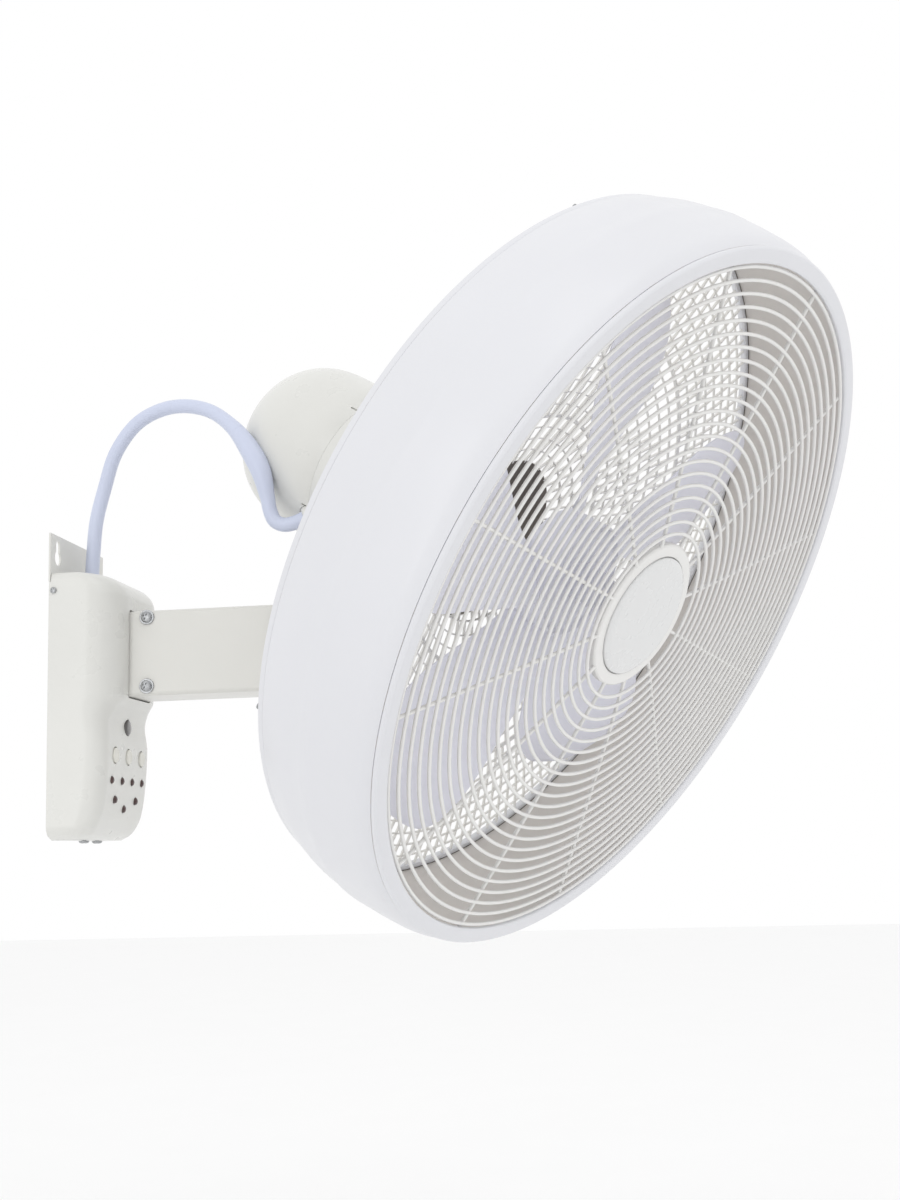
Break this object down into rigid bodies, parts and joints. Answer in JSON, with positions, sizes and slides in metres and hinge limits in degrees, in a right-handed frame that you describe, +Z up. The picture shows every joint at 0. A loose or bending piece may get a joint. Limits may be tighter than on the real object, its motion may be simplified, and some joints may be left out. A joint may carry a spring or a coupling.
{
  "type": "wall mounted fan",
  "caption": "Wall fan with a deep round shroud and wire grille on a short arm and remote-control box; the head tilts and swings and the paddle wheel turns.",
  "frame": {"origin": "centre of the wall plate's back face, which lies on the wall", "axes": "+Y into the wall, -Y toward the room, +Z up, +X to the right seen from the room"},
  "size_m": [0.4851, 0.5516, 0.4565],
  "materials": {
    "painted_steel": "satin powder coat",
    "painted_cast": "satin paint on a casting",
    "zinc_steel": "zinc plated",
    "core_steel": "stacked laminations",
    "ivory_plastic": "fine satin",
    "white_plastic": "soft gloss",
    "blade_plastic": "soft gloss",
    "painted_wire": "coated wire",
    "dark_plastic": "matt",
    "lamp_plastic": "tinted lens",
    "cable_jacket": "smooth sheath",
    "board": "lacquered board",
    "brass": "machined",
    "winding": "enamelled copper wire"
  },
  "bodies": {
    "base": {"wall_plate": "painted_steel", "arm_bracket": "zinc_steel", "box_cover": "ivory_plastic", "circuit_board": "board", "receiver_window": "dark_plastic", "indicator_lamp_1": "lamp_plastic", "indicator_lamp_2": "lamp_plastic", "indicator_lamp_3": "lamp_plastic", "indicator_lamp_4": "lamp_plastic", "indicator_lamp_5": "lamp_plastic", "indicator_lamp_6": "lamp_plastic", "indicator_lamp_7": "lamp_plastic", "cable_grommet": "ivory_plastic", "start_capacitor": "dark_plastic", "arm_bar": "painted_steel", "tilt_bolt": "zinc_steel", "tilt_nut": "zinc_steel", "cable_upper": "cable_jacket", "side_screw_left": "zinc_steel", "side_screw_right": "zinc_steel", "bottom_screw_left": "zinc_steel", "bottom_screw_right": "zinc_steel", "arm_screw_upper_left": "zinc_steel", "arm_screw_lower_left": "zinc_steel", "arm_screw_upper_right": "zinc_steel", "arm_screw_lower_right": "zinc_steel"},
    "speed_button": {"speed_button": "ivory_plastic"},
    "swing_button": {"swing_button": "ivory_plastic"},
    "timer_button": {"timer_button": "ivory_plastic"},
    "neck": {"neck_casting": "painted_cast", "swing_post": "zinc_steel", "swing_fixed_gear": "brass", "cable_lower": "cable_jacket"},
    "head": {"motor_front_casing": "ivory_plastic", "motor_rear_shell": "ivory_plastic", "cable_gland": "ivory_plastic", "stator_core": "core_steel", "stator_winding_front": "winding", "stator_winding_rear": "winding", "rear_bearing_plate": "zinc_steel", "front_bearing": "zinc_steel", "rear_bearing": "zinc_steel", "swing_motor": "zinc_steel", "rear_guard": "white_plastic", "shroud": "white_plastic", "front_rim": "white_plastic", "front_grille": "painted_wire", "hub_badge": "ivory_plastic"},
    "fan_wheel": {"rotor_shaft": "zinc_steel", "rotor_core": "core_steel", "blade_wheel": "blade_plastic", "wheel_nut": "blade_plastic"},
    "swing_pinion": {"swing_pinion": "brass"}
  },
  "joints": [
    {"name": "tilt", "type": "hinge", "parent": "base", "child": "neck", "pos_m": [0, -0.1567, 0.04], "axis": [1, 0, 0], "range_deg": [-36, 6], "deforming": ["cable_upper"]},
    {"name": "swing", "type": "hinge", "parent": "neck", "child": "head", "pos_m": [0, -0.2266, 0.14363], "axis": [0, -0.5592, 0.829], "range_deg": [-23, 61], "deforming": ["cable_lower"]},
    {"name": "wheel_spin", "type": "hinge", "parent": "head", "child": "fan_wheel", "pos_m": [0, -0.2266, 0.14363], "axis": [0.3256, 0.7839, 0.5287], "continuous": true},
    {"name": "pinion_turn", "type": "hinge", "parent": "head", "child": "swing_pinion", "pos_m": [0.007, -0.20975, 0.155], "axis": [0, -0.5592, 0.829], "range_deg": [-50, 125]},
    {"name": "speed_button_push", "type": "slide", "parent": "base", "child": "speed_button", "axis": [0, 1, 0], "range_m": [0, 0.001], "stiffness_N_per_m": 400, "springref_m": -0.0006},
    {"name": "swing_button_push", "type": "slide", "parent": "base", "child": "swing_button", "axis": [0, 1, 0], "range_m": [0, 0.001], "stiffness_N_per_m": 400, "springref_m": -0.0006},
    {"name": "timer_button_push", "type": "slide", "parent": "base", "child": "timer_button", "axis": [0, 1, 0], "range_m": [0, 0.001], "stiffness_N_per_m": 400, "springref_m": -0.0006}
  ],
  "couplings": [
    {"joint": "pinion_turn", "follows": "swing", "ratio": 2}
  ]
}
